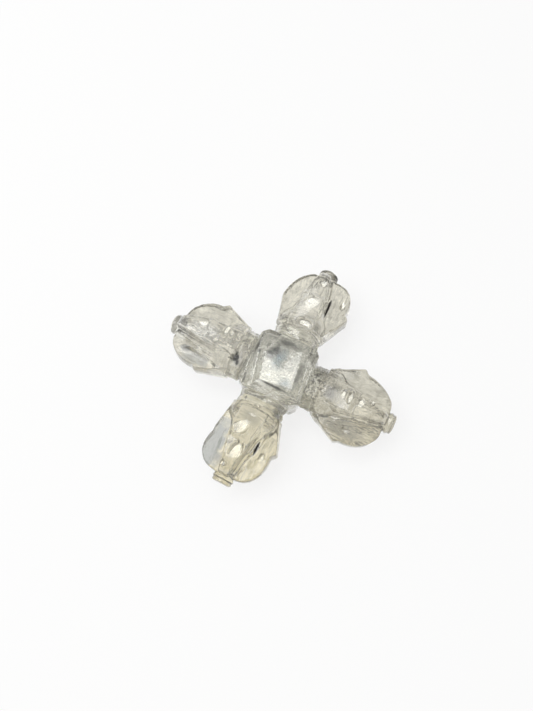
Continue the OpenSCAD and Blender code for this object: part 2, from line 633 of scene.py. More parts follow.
@dataclass(frozen=True)
class Roughening:
    """A stretch of an arm that was left unpolished, between two stations, with pits of a size and a depth.

    The pits are drawn out round the arm by the stretch.
    """

    start: float
    end: float
    size: float
    depth: float
    stretch: float = 1.0

    def carve(self, local: np.ndarray) -> np.ndarray:
        """Pits the stretch.

        Args:
            local: Points as distances out, right and up.

        Returns:
            The pitted points.
        """
        near = within(local[:, 0], self.start, self.end, soft=0.8)
        picked = np.nonzero(near > 0.0)[0]
        carved = local.copy()
        scale = self.size * np.array([1.0, self.stretch, self.stretch])
        for index in picked:
            push = noise.noise_vector(Vector(local[index] / scale))
            carved[index] += np.array(push) * (self.depth * near[index])
        return carved


@dataclass(frozen=True)
class Facet:
    """A flat that the wheel ground on an arm.

    The place is out, right and up in millimetres, and the tilts turn the flat's face outwards and to the
    right in degrees. The cut fades out between its reach along and across the arm and a multiple of it, and
    is a little wavy.
    """

    place: Triple
    tilt_out: float
    tilt_right: float
    reach: Span
    fade: float = 1.35
    wave: float = 0.012
    wave_size: float = 0.8

    def carve(self, local: np.ndarray) -> np.ndarray:
        """Grinds the flat.

        Args:
            local: Points as distances out, right and up.

        Returns:
            The ground points.
        """
        slopes = [math.tan(math.radians(tilt)) for tilt in (self.tilt_out, self.tilt_right)]
        normal = np.array([*slopes, 1.0])
        normal /= np.linalg.norm(normal)
        offset = local - np.array(self.place)
        spread = np.hypot(offset[:, 0] / self.reach[0], offset[:, 1] / self.reach[1])
        near = smooth_step(-spread, -self.fade, -1.0) * (local[:, 2] > 0.0)
        carved = local.copy()
        for index in np.nonzero(near > 0.0)[0]:
            height = offset[index] @ normal + self.wave * noise.noise(Vector(local[index] / self.wave_size))
            carved[index] -= normal * (max(height, 0.0) * near[index])
        return carved


@dataclass(frozen=True)
class RingGroove:
    """A groove turned round an arm, with its station, half width and depth in millimetres."""

    station: float
    half_width: float
    depth: float

    def carve(self, local: np.ndarray) -> np.ndarray:
        """Cuts the groove.

        Args:
            local: Points as distances out, right and up.

        Returns:
            The cut points.
        """
        near = np.exp(-(((local[:, 0] - self.station) / self.half_width) ** 2))
        return drawn_in(local, self.depth * near)


@dataclass(frozen=True)
class Striation:
    """Fine scores along an arm that close in to its tip as the prongs' edges do.

    They lie between two stations in millimetres and two angles round the axis, counted in degrees from the
    top to the right. The spacing is in degrees too, and the depth in millimetres.
    """

    start: float
    end: float
    low: float
    high: float
    spacing: float
    depth: float

    def carve(self, local: np.ndarray) -> np.ndarray:
        """Scores the arm.

        Args:
            local: Points as distances out, right and up.

        Returns:
            The scored points.
        """
        angle = np.degrees(np.arctan2(local[:, 1], local[:, 2]))
        near = within(local[:, 0], self.start, self.end, soft=1.0)
        near *= within(angle, self.low, self.high, soft=self.spacing)
        score = np.maximum(np.cos(2.0 * math.pi * (angle - self.low) / self.spacing), 0.0)
        return drawn_in(local, self.depth * near * score)


Carving = Hollow | Crown | Roughening | Facet | RingGroove | Striation


@dataclass
class Stone:
    """The blank that all members are parted from, worn as one stone. Sizes are in millimetres.

    Corners of the solids that lie closer than the weld are one point, and the grain is the size of a quad of
    the skin. The hub keeps crisp edges, with a share of the waves on its level tables and more on its
    shoulders, told apart by their slope. The arms are rubbed softer from a station on. Each wave of the hand
    work is a size across and a depth, and the arms' waves are drawn out along them. A hollow counts as fully
    shaded, for the painted shade in hollows, where rubbing for a number of rounds would fill it by a depth.
    In each round of rubbing a point moves by a share of the way to its neighbours' middle, and then back, so
    that the stone doesn't shrink.
    The seed fixes the pits of the rough stretches.
    """

    weld: float = 1e-4
    grain: float = 0.2
    hub_rounds: int = 2
    arm_rounds: int = 24
    carved_rounds: int = 2
    pulls: Span = (0.5, -0.51)
    soft_from: float = 7.5
    soft_over: float = 1.0
    waves: tuple[Span, ...] = ((5.0, 0.12), (2.2, 0.1), (0.9, 0.05), (0.5, 0.02))
    draw: float = 0.45
    table_share: float = 0.06
    shoulder_share: float = 1.3
    shoulder_slope: Span = (0.03, 0.15)
    hollow_rounds: int = 12
    hollow_depth: float = 0.06
    seed: int = 2
    mesh: BMesh | None = field(default=None, init=False)

    def build(self, nodes: dict[str, Object], hub: "Hub", arms: list["Arm"]) -> None:
        """Carves the blank.

        Args:
            nodes: The solids' objects by name.
            hub: The hub, which knows its own carving.
            arms: The arms, which know theirs.
        """
        noise.seed_set(self.seed)
        points, faces = self.remesh(self.gather(nodes))
        points = self.rub(points, faces)
        for arm in arms:
            points = arm.carve(points, arm.carving)
        points = hub.carve(points, arms[Bearing.EAST.value].axis.z)
        points = self.relax(points, faces, self.carved_rounds)
        points = self.wear(points, faces)
        for arm in arms:
            points = arm.carve(points, arm.facets)
        points = hub.chip(points, arms[Bearing.EAST.value].place())
        normals = self.vertex_normals(points, faces)
        self.mesh = self.as_bmesh(points, faces, normals, self.hollowness(points, faces, normals))

    def gather(self, nodes: dict[str, Object]) -> Object:
        """Joins copies of the solids into one object in millimetres.

        Args:
            nodes: The solids' objects by name.

        Returns:
            The joined object.
        """
        joined = bmesh.new()
        for solid in nodes.values():
            joined.from_mesh(solid.data)
        bmesh.ops.scale(joined, vec=(1.0 / MM,) * 3, verts=joined.verts)
        bmesh.ops.remove_doubles(joined, verts=joined.verts, dist=self.weld)
        mesh = bpy.data.meshes.new("blank")
        joined.to_mesh(mesh)
        joined.free()
        blank = bpy.data.objects.new("blank", mesh)
        bpy.context.scene.collection.objects.link(blank)
        return blank

    def remesh(self, blank: Object) -> tuple[np.ndarray, np.ndarray]:
        """Turns the joined solids into one closed skin of even quads, and removes the object.

        Args:
            blank: The joined object.

        Returns:
            The skin's points and its quads.
        """
        modifier = blank.modifiers.new("skin", "REMESH")
        modifier.mode = "VOXEL"
        modifier.voxel_size = self.grain
        modifier.adaptivity = 0.0
        skin = blank.evaluated_get(bpy.context.evaluated_depsgraph_get()).to_mesh()
        points = np.zeros(len(skin.vertices) * 3)
        skin.vertices.foreach_get("co", points)
        corners = np.zeros(len(skin.loops), dtype=int)
        skin.loops.foreach_get("vertex_index", corners)
        bpy.data.objects.remove(blank)
        return points.reshape(-1, 3), corners.reshape(-1, 4)

    def rub(self, points: np.ndarray, faces: np.ndarray) -> np.ndarray:
        """Rounds the edges, more on the arms than on the hub.

        Args:
            points: Points of the skin.
            faces: Quads of the skin.

        Returns:
            The rubbed points.
        """
        crisp = self.relax(points, faces, self.hub_rounds)
        soft = self.relax(crisp, faces, self.arm_rounds)
        reach = np.abs(points[:, :2]).max(axis=1)
        share = smooth_step(reach, self.soft_from, self.soft_from + self.soft_over)[:, None]
        return crisp + (soft - crisp) * share

    def hollowness(self, points: np.ndarray, faces: np.ndarray, normals: np.ndarray) -> np.ndarray:
        """Works out how hollow the skin is, which the finishes darken as painted shade.

        Args:
            points: Points of the skin.
            faces: Quads of the skin.
            normals: Normals of the points.

        Returns:
            A value from 0 on flats and ridges to 1 in tight grooves.
        """
        neighbours = self.relax(points, faces, self.hollow_rounds) - points
        bend = (neighbours * normals).sum(axis=1)
        return np.clip(bend / self.hollow_depth, 0.0, 1.0)

    def relax(self, points: np.ndarray, faces: np.ndarray, rounds: int) -> np.ndarray:
        """Softens the steps of the skin without shrinking it.

        Args:
            points: Points of the skin.
            faces: Quads of the skin.
            rounds: Number of passes.

        Returns:
            The relaxed points.
        """
        edges = np.concatenate([faces[:, [corner, (corner + 1) % 4]] for corner in range(4)])
        count = len(points)
        valence = np.bincount(edges[:, 0], minlength=count)[:, None]
        for _ in range(rounds):
            for pull in self.pulls:
                total = np.stack(
                    [np.bincount(edges[:, 0], points[edges[:, 1], axis], count) for axis in range(3)], axis=1
                )
                points = points + pull * (total / valence - points)
        return points

    def wear(self, points: np.ndarray, faces: np.ndarray) -> np.ndarray:
        """Gives the skin the slow waves and small dents of hand work, inside the solids' box.

        Args:
            points: Points of the skin.
            faces: Quads of the skin.

        Returns:
            The worn points.
        """
        normals = self.vertex_normals(points, faces)
        depth = np.zeros(len(points))
        along = np.abs(points[:, :2])
        drawn = points.copy()
        drawn[:, :2] = np.sign(points[:, :2]) * (
            np.minimum(along, self.soft_from) + self.draw * np.maximum(along - self.soft_from, 0.0)
        )
        for size, height in self.waves:
            depth += height * np.array([noise.noise(Vector(p) / size) for p in drawn])
        reach = np.abs(points[:, :2]).max(axis=1)
        slope = smooth_step(1.0 - np.abs(normals[:, 2]), *self.shoulder_slope)
        hub_share = self.table_share + (self.shoulder_share - self.table_share) * slope
        arm_share = smooth_step(reach, self.soft_from - self.soft_over, self.soft_from)
        depth *= hub_share + (1.0 - hub_share) * arm_share
        low, high = (np.array(corner) / MM for corner in CAD_BOX)
        return np.clip(points + normals * depth[:, None], low, high)

    @staticmethod
    def vertex_normals(points: np.ndarray, faces: np.ndarray) -> np.ndarray:
        """Works out the normals of a skin of quads.

        Args:
            points: Points of the skin.
            faces: Quads of the skin.

        Returns:
            One unit normal for each point.
        """
        corners = points[faces]
        across = np.cross(corners[:, 2] - corners[:, 0], corners[:, 3] - corners[:, 1])
        normals = np.zeros_like(points)
        for corner in range(4):
            for axis in range(3):
                normals[:, axis] += np.bincount(faces[:, corner], across[:, axis], len(points))
        return normals / np.maximum(np.linalg.norm(normals, axis=1, keepdims=True), LEAST_LENGTH)

    @staticmethod
    def as_bmesh(points: np.ndarray, faces: np.ndarray, normals: np.ndarray, hollow: np.ndarray) -> BMesh:
        """Makes the skin a mesh that can be cut, with its normals and hollows kept on its points.

        Args:
            points: Points of the skin.
            faces: Quads of the skin.
            normals: Normals of the points.
            hollow: How hollow the skin is at each point.

        Returns:
            The mesh.
        """
        mesh = bpy.data.meshes.new("stone")
        mesh.from_pydata(points.tolist(), [], faces.tolist())
        layer = mesh.attributes.new(NORMAL, "FLOAT_VECTOR", "POINT")
        layer.data.foreach_set("vector", normals.ravel())
        layer = mesh.attributes.new(HOLLOWNESS, "FLOAT", "POINT")
        layer.data.foreach_set("value", hollow)
        stone = bmesh.new()
        stone.from_mesh(mesh)
        bpy.data.meshes.remove(mesh)
        return stone


def halved(stone: BMesh, cut: Cut) -> BMesh:
    """Copies a closed mesh and saws the copy along one plane, with the sawn face closed again.

    Args:
        stone: The closed mesh.
        cut: The plane to saw along.

    Returns:
        The part that is left.
    """
    part = stone.copy()
    geometry = part.verts[:] + part.edges[:] + part.faces[:]
    sliced = bmesh.ops.bisect_plane(
        part, geom=geometry, dist=SNAP, plane_co=cut.point, plane_no=cut.normal, clear_outer=True
    )
    rim = [e for e in sliced["geom_cut"] if isinstance(e, BMEdge)]
    filled = bmesh.ops.triangle_fill(part, use_beauty=True, edges=rim, normal=cut.normal)
    for face in filled["geom"]:
        if isinstance(face, BMFace):
            face.material_index = Face.JOINT.value
    return part


def sawn(stone: BMesh, cuts: list[Cut]) -> BMesh:
    """Saws a copy of a closed mesh along planes. A plane that leaves a hole is moved by a hair.

    Args:
        stone: The closed mesh.
        cuts: The planes to saw along.

    Returns:
        The part that is left.
    """
    part = stone.copy()
    for cut in cuts:
        left = halved(part, cut)
        for shift in HAIRS:
            if all(edge.is_manifold for edge in left.edges):
                break
            LOG.info("a cut is moved by a hair")
            left.free()
            left = halved(part, Cut(cut.point + cut.normal * shift, cut.normal))
        part.free()
        part = left
    return part


def drop_flakes(part: BMesh) -> None:
    """Keeps only the largest connected piece of a sawn part.

    Args:
        part: The part, which is changed in place.
    """
    waiting = set(part.verts)
    shells = []
    while waiting:
        stack = [waiting.pop()]
        shell = []
        while stack:
            here = stack.pop()
            shell.append(here)
            beside = {edge.other_vert(here) for edge in here.link_edges} & waiting
            waiting -= beside
            stack.extend(beside)
        shells.append(shell)
    shells.sort(key=len)
    for shell in shells[:-1]:
        bmesh.ops.delete(part, geom=shell, context="VERTS")


def set_piece(name: str, mesh: Mesh, finishes: list[Material]) -> Object:
    """Sets a mesh in the frame as a piece of the part.

    Args:
        name: Name of the piece.
        mesh: Its mesh in metres.
        finishes: Its materials.

    Returns:
        The new piece.
    """
    for finish in finishes:
        mesh.materials.append(finish)
    piece = bpy.data.objects.new(name, mesh)
    bpy.context.scene.collection.objects.link(piece)
    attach(piece, BODY)
    LOG.info("%s: %d faces", piece.name, len(mesh.polygons))
    return piece


def member(part: BMesh, node: str, finishes: list[Material]) -> None:
    """Sets a sawn part in the frame in place of its solid.

    Args:
        part: The closed part in millimetres.
        node: Name of the solid that it stands for.
        finishes: Materials of the carved faces and of the joints.
    """
    drop_flakes(part)
    bmesh.ops.recalc_face_normals(part, faces=part.faces)
    bmesh.ops.scale(part, vec=(MM,) * 3, verts=part.verts)
    mesh = bpy.data.meshes.new(node + "_stone")
    part.to_mesh(mesh)
    part.free()
    mesh.polygons.foreach_set("use_smooth", [True] * len(mesh.polygons))
    kept = np.zeros(len(mesh.vertices) * 3)
    mesh.attributes[NORMAL].data.foreach_get("vector", kept)
    kept = kept.reshape(-1, 3)
    split = np.zeros((len(mesh.loops), 3))
    for polygon in mesh.polygons:
        carved = polygon.material_index == Face.CARVED.value
        for corner in polygon.loop_indices:
            split[corner] = kept[mesh.loops[corner].vertex_index] if carved else polygon.normal
    mesh.normals_split_custom_set(split.tolist())
    mesh.attributes.remove(mesh.attributes[NORMAL])
    piece = set_piece(mesh.name, mesh, finishes)
    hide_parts(node)


@dataclass
class Arm:
    """One arm of the cross: a neck ring, a lotus base, a core with four prongs round it, and a finial.

    The stations come from the solids. The set-offs move three cuts clear of the faces beside them, in
    millimetres.
    """

    bearing: Bearing
    carving: list[Carving] = field(default_factory=list)
    facets: list[Facet] = field(default_factory=list)
    wall_clear: float = 0.3
    base_clear: float = 0.2
    tip_clear: float = 0.25
    out: Vector = field(init=False)
    right: Vector = field(init=False)
    axis: Vector = field(init=False)

    def __post_init__(self) -> None:
        """Takes the arm's directions and a point on its axis from the frame."""
        angle = math.radians(90.0 * self.bearing.value)
        self.out = Vector((round(math.cos(angle)), round(math.sin(angle)), 0.0))
        self.right = self.out.cross(UP)
        low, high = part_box("hub")
        self.axis = Vector((0.0, 0.0, (low.z + high.z) / 2.0)) / MM

    def place(self) -> ArmFrame:
        """Returns the arm's directions as a frame."""
        return ArmFrame(*(np.array(v) for v in (self.out, self.right, UP, self.axis)))

    def carve(self, points: np.ndarray, carving: list[Carving]) -> np.ndarray:
        """Works carving into the arm's own stretch of the stone.

        Args:
            points: Points of the whole stone.
            carving: What to carve, in order.

        Returns:
            The carved points.
        """
        place = self.place()
        whole = place.local(points)
        mine = whole[:, 0] > np.maximum(self.station("neck"), np.abs(whole[:, 1]))
        local = whole[mine]
        for cut in carving:
            local = cut.carve(local)
        points = points.copy()
        points[mine] = place.world(local)
        return points

    def node(self, part: str) -> str:
        """Returns the name of one of the arm's solids."""
        return f"{self.bearing.name.lower()}_{part}"

    def station(self, part: str) -> float:
        """Returns where one of the arm's solids starts, along the arm in millimetres."""
        low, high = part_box(self.node(part))
        return min(low.dot(self.out), high.dot(self.out)) / MM

    def cross_cut(self, station: float) -> Cut:
        """Returns the cut square to the arm at a station, with what lies further out falling away."""
        return Cut(self.axis + self.out * station, self.out)

    def wall_cut(self) -> Cut:
        """Returns the cut between the hub and the neck ring."""
        return self.cross_cut(self.station("neck") + self.wall_clear)

    def quarter_cuts(self) -> list[Cut]:
        """Returns the two diagonal cuts that keep the neighbouring arms' heads out."""
        return [Cut(self.axis, (across - self.out).normalized()) for across in (self.right, -self.right)]

    def seat_cut(self, side: Side) -> Cut:
        """Finds the core's face that one prong sits on.

        Args:
            side: The prong's side.

        Returns:
            The face as a cut, with the prong falling away.
        """
        square = (UP, self.right, -UP, -self.right)[side.value]
        core = frame["nodes"][self.node("core")].data
        faces = [p for p in core.polygons if p.normal.dot(square) > FACING]
        face = max(faces, key=lambda p: p.area)
        return Cut(Vector(face.center) / MM, Vector(face.normal))

    def across(self, side: Side) -> Vector:
        """Returns the direction from the arm's axis to one prong."""
        normal = self.seat_cut(side).normal
        return (normal - self.out * normal.dot(self.out)).normalized()

    def split_cut(self, side: Side, step: int) -> Cut:
        """Finds the plane through the axis that parts a prong from its neighbour.

        Args:
            side: The prong's side.
            step: 1 for the next neighbour or -1 for the one before.

        Returns:
            The plane as a cut, with the neighbour falling away.
        """
        beside = Side((side.value + step) % 4)
        return Cut(self.axis, (self.across(beside) - self.across(side)).normalized())

    def build(self, stone: Stone, finishes: dict[str, Material]) -> None:
        """Parts the arm from the stone, member by member.

        Args:
            stone: The blank.
            finishes: Materials by their slot, and the joint's.
        """
        arm = sawn(stone.mesh, [self.wall_cut().turned(), *self.quarter_cuts()])
        base_cut = self.cross_cut(self.station("base") - self.base_clear)
        root_cut = self.cross_cut(self.station("core"))
        tip_cut = self.cross_cut(self.station("finial") + self.tip_clear)
        head = sawn(arm, [root_cut.turned(), tip_cut])
        seats = {side: self.seat_cut(side) for side in Side}
        parts = {
            "neck": ("ground_crystal", sawn(arm, [base_cut])),
            "base": ("satin_crystal", sawn(arm, [base_cut.turned(), root_cut])),
            "core": ("inner_crystal", sawn(head, list(seats.values()))),
            "finial": ("polished_crystal", sawn(arm, [tip_cut.turned()])),
        }
        for side in Side:
            cuts = [seats[side].turned(), self.split_cut(side, 1), self.split_cut(side, -1)]
            parts[side.name.lower() + "_prong"] = ("polished_crystal", sawn(head, cuts))
        for part, (slot, mesh) in parts.items():
            outside = OUTSIDES.get(self.node(part), slot)
            member(mesh, self.node(part), [finishes[outside], finishes["joint"]])
        arm.free()
        head.free()


@dataclass
class SlitShade:
    """A black sliver of painted shade in the slit behind one side prong, thinning out to both ends.
    Sizes are in millimetres.

    It lies beside the core's face, with its outer end further out to the side by the lean, and its upper edge
    is sunk below the core's upper edge. The powers round its ends off, and it is nowhere thinner than a size.
    """

    arm: Arm
    side: Side
    start: float
    end: float
    half_width: float = 0.3
    beside: float = 0.3
    lean: float = 0.6
    sunk: float = 0.2
    depth: float = 1.4
    width_power: float = 0.4
    height_power: float = 0.5
    thinnest: float = 0.01
    steps: int = 24
    corners: int = 12

    def build(self, finishes: dict[str, Material]) -> None:
        """Makes the sliver.

        Args:
            finishes: Materials by their slot, and the slit's painted shade.
        """
        seat = self.arm.seat_cut(self.side)
        outward = self.arm.across(self.side)
        rings = []
        for step in range(self.steps + 1):
            along = step / self.steps
            station = self.start + (self.end - self.start) * along
            centre = self.arm.axis + self.arm.out * station
            reach = seat.normal.dot(seat.point - centre) / seat.normal.dot(outward)
            swell = math.sin(math.pi * along)
            width = max(self.half_width * swell ** self.width_power, self.thinnest)
            height = max(0.5 * self.depth * swell ** self.height_power, self.thinnest)
            middle = centre + outward * (reach + self.beside + self.lean * along)
            middle.z += reach - self.sunk - 0.5 * self.depth
            ring = []
            for corner in range(self.corners):
                angle = 2.0 * math.pi * corner / self.corners
                spot = middle + outward * (width * math.cos(angle))
                spot.z += height * math.sin(angle)
                ring.append(spot * MM)
            rings.append(ring)
        count = self.corners
        points = [spot for ring in rings for spot in ring]
        faces = [tuple(range(count)), tuple(range(len(points) - 1, len(points) - count - 1, -1))]
        for step in range(self.steps):
            for corner in range(count):
                here = step * count + corner
                beside = step * count + (corner + 1) % count
                faces.append((here, here + count, beside + count, beside))
        name = self.arm.node("slit_grime")
        mesh = bpy.data.meshes.new(name)
        mesh.from_pydata(points, [], faces)
        solid = bmesh.new()
        solid.from_mesh(mesh)
        bmesh.ops.recalc_face_normals(solid, faces=solid.faces)
        solid.to_mesh(mesh)
        solid.free()
        set_piece(name, mesh, [finishes["grime"]])


@dataclass
class PitGrime:
    """Dirt packed in a pit of the stone, as a ragged flat lump. Sizes are in millimetres."""

    name: str
    place: Triple
    reach: Triple
    ragged: float = 0.7
    ragged_size: float = 0.6

    def build(self, finishes: dict[str, Material]) -> None:
        """Makes the lump.

        Args:
            finishes: Materials by their slot, and the dust's.
        """
        lump = bmesh.new()
        bmesh.ops.create_icosphere(lump, subdivisions=4, radius=1.0)
        for spot in lump.verts:
            swell = 1.0 + self.ragged * noise.noise(spot.co / self.ragged_size)
            for axis in range(3):
                spot.co[axis] = (self.place[axis] + spot.co[axis] * swell * self.reach[axis]) * MM
        mesh = bpy.data.meshes.new(self.name)
        lump.to_mesh(mesh)
        lump.free()
        set_piece(self.name, mesh, [finishes["dust"]])


@dataclass(frozen=True)
class ShoulderGroove:
    """A groove along one edge of the hub's upper table, with its distance from the middle, in millimetres.

    It fades out towards the corners, where its way out less its way aside falls through the fade.
    """

    side: Bearing
    distance: float
    half_width: float
    depth: float
    fade: Span = (-0.6, 0.2)

    def fall(self, along: np.ndarray, across: np.ndarray) -> np.ndarray:
        """Works out how deep the groove is.

        Args:
            along: Distances east of the middle, square to the table's edges.
            across: Distances north of the middle.

        Returns:
            The depth at each place.
        """
        angle = math.radians(90.0 * self.side.value)
        out = along * math.cos(angle) + across * math.sin(angle)
        beside = np.abs(across * math.cos(angle) - along * math.sin(angle))
        near = np.exp(-(((out - self.distance) / self.half_width) ** 2))
        return self.depth * near * smooth_step(out - beside, *self.fade)


@dataclass
class Hub:
    """The square block that the four arms grow from, with grooves on its shoulders.

    The table's turn against the arms is in degrees. Its corners, from south-west and south-east to north-west
    and north-east, were ground off the square by a distance east and north, in millimetres. The chips are
    flats that broke off the table, with their places east, south and up from the crossing of the arms. The
    shoulders and the table set in between two heights above that crossing, and end at the walls, between two
    distances from the middle.
    """

    table_turn: float = 8.0
    table_half: float = 4.0
    table_rise: Span = (3.5, 5.5)
    shoulder_rise: Span = (2.0, 3.5)
    wall_fade: Span = (7.0, 7.6)
    table_pull: tuple[Span, ...] = ((1.2, -0.6), (0.7, -0.7), (0.0, 0.0), (0.3, 0.0))
    grooves: tuple[ShoulderGroove, ...] = (
        ShoulderGroove(Bearing.NORTH, distance=6.6, half_width=0.3, depth=0.2),
        ShoulderGroove(Bearing.EAST, distance=5.4, half_width=0.25, depth=0.3),
        ShoulderGroove(Bearing.EAST, distance=6.4, half_width=0.3, depth=0.3),
        ShoulderGroove(Bearing.SOUTH, distance=5.3, half_width=0.3, depth=0.35),
        ShoulderGroove(Bearing.SOUTH, distance=6.1, half_width=0.22, depth=0.3),
        ShoulderGroove(Bearing.SOUTH, distance=6.8, half_width=0.22, depth=0.3),
        ShoulderGroove(Bearing.WEST, distance=5.2, half_width=0.25, depth=0.2),
        ShoulderGroove(Bearing.WEST, distance=6.6, half_width=0.3, depth=0.45),
    )
    chips: tuple[Facet, ...] = (
        Facet(place=(-2.5, -2.7, 5.88), tilt_out=-8.0, tilt_right=-8.0, reach=(1.3, 1.1), wave=0.05),
    )

    def carve(self, points: np.ndarray, axis_height: float) -> np.ndarray:
        """Cuts the grooves on the upper shoulders, and grinds the table's corners off the square.

        Args:
            points: Points of the whole stone.
            axis_height: Height of the arms' axes in millimetres.

        Returns:
            The carved points.
        """
        turn = math.radians(self.table_turn)
        along = points[:, 0] * math.cos(turn) + points[:, 1] * math.sin(turn)
        across = points[:, 1] * math.cos(turn) - points[:, 0] * math.sin(turn)
        near, far = self.wall_fade
        inner = smooth_step(-np.abs(points[:, :2]).max(axis=1), -far, -near)
        upper = smooth_step(points[:, 2] - axis_height, *self.shoulder_rise)
        carved = points.copy()
        for groove in self.grooves:
            carved[:, 2] -= upper * inner * groove.fall(along, across)
        east = np.clip(0.5 + 0.5 * along / self.table_half, 0.0, 1.0)
        north = np.clip(0.5 + 0.5 * across / self.table_half, 0.0, 1.0)
        shares = ((1.0 - east) * (1.0 - north), east * (1.0 - north), (1.0 - east) * north, east * north)
        height = smooth_step(points[:, 2] - axis_height, *self.table_rise) * inner
        for share, pull in zip(shares, self.table_pull):
            carved[:, :2] += (share * height)[:, None] * np.array(pull)
        return carved

    def chip(self, points: np.ndarray, place: ArmFrame) -> np.ndarray:
        """Breaks the chips off the table.

        Args:
            points: Points of the whole stone.
            place: Frame of the east arm.

        Returns:
            The chipped points.
        """
        local = place.local(points)
        for chip in self.chips:
            local = chip.carve(local)
        return place.world(local)

    def build(self, stone: Stone, arms: list[Arm], finishes: dict[str, Material]) -> None:
        """Parts the hub from the stone.

        Args:
            stone: The blank.
            arms: The arms, which give the cuts at the hub's walls.
            finishes: Materials by their slot, and the joint's.
        """
        part = sawn(stone.mesh, [arm.wall_cut() for arm in arms])
        member(part, "hub", [finishes["hub"], finishes["joint"]])


@dataclass
class Camera:
    """The photograph's viewpoint. Angles are in degrees and sizes in millimetres.

    The offsets are how far the crossing of the arms lies right of and above the middle of the picture.
    """

    azimuth: float = 33.0
    elevation: float = 69.4
    roll: float = -6.4
    distance: float = 120.9
    offset_right: float = 2.86
    offset_up: float = -3.75
    focal_pixels: float = 534.0
    picture_height: float = 711.0
    sensor: float = 36.0

    def build(self, centre: Vector) -> None:
        """Sets the camera up.

        Args:
            centre: Crossing of the arms' axes in millimetres.
        """
        azimuth, elevation, roll = (math.radians(a) for a in (self.azimuth, self.elevation, self.roll))
        back = Vector(
            (
                math.sin(azimuth) * math.cos(elevation),
                -math.cos(azimuth) * math.cos(elevation),
                math.sin(elevation),
            )
        )
        level = Vector((math.cos(azimuth), math.sin(azimuth), 0.0))
        rise = back.cross(level)
        right = level * math.cos(roll) + rise * math.sin(roll)
        up = rise * math.cos(roll) - level * math.sin(roll)
        place = centre + back * self.distance - right * self.offset_right - up * self.offset_up
        data = bpy.data.cameras.new("camera")
        data.sensor_width = self.sensor
        data.lens = self.focal_pixels * self.sensor / self.picture_height
        data.clip_start = 0.005
        camera = bpy.data.objects.new("camera", data)
        turn = Matrix((right, up, back)).transposed().to_4x4()
        camera.matrix_world = Matrix.Translation(place * MM) @ turn
        bpy.context.scene.collection.objects.link(camera)
        bpy.context.scene.camera = camera


@dataclass(frozen=True)
class Lamp:
    """A soft rectangular lamp that hangs level and shines down. Sizes are in millimetres.

    The glow is the brightness of its face, where 1 is the brightness of white paper in the scene.
    """

    name: str
    place: Triple
    length: float
    width: float
    turn: float
    glow: float
    colour: Triple = (1.0, 1.0, 1.0)

    def build(self) -> None:
        """Hangs the lamp."""
        data = bpy.data.lights.new(self.name, "AREA")
        data.shape = "RECTANGLE"
        data.size = self.length * MM
        data.size_y = self.width * MM
        data.energy = math.pi * data.size * data.size_y * self.glow
        data.color = self.colour
        lamp = bpy.data.objects.new(self.name, data)
        lamp.location = Vector(self.place) * MM
        lamp.rotation_euler = (0.0, 0.0, math.radians(self.turn))
        bpy.context.scene.collection.objects.link(lamp)


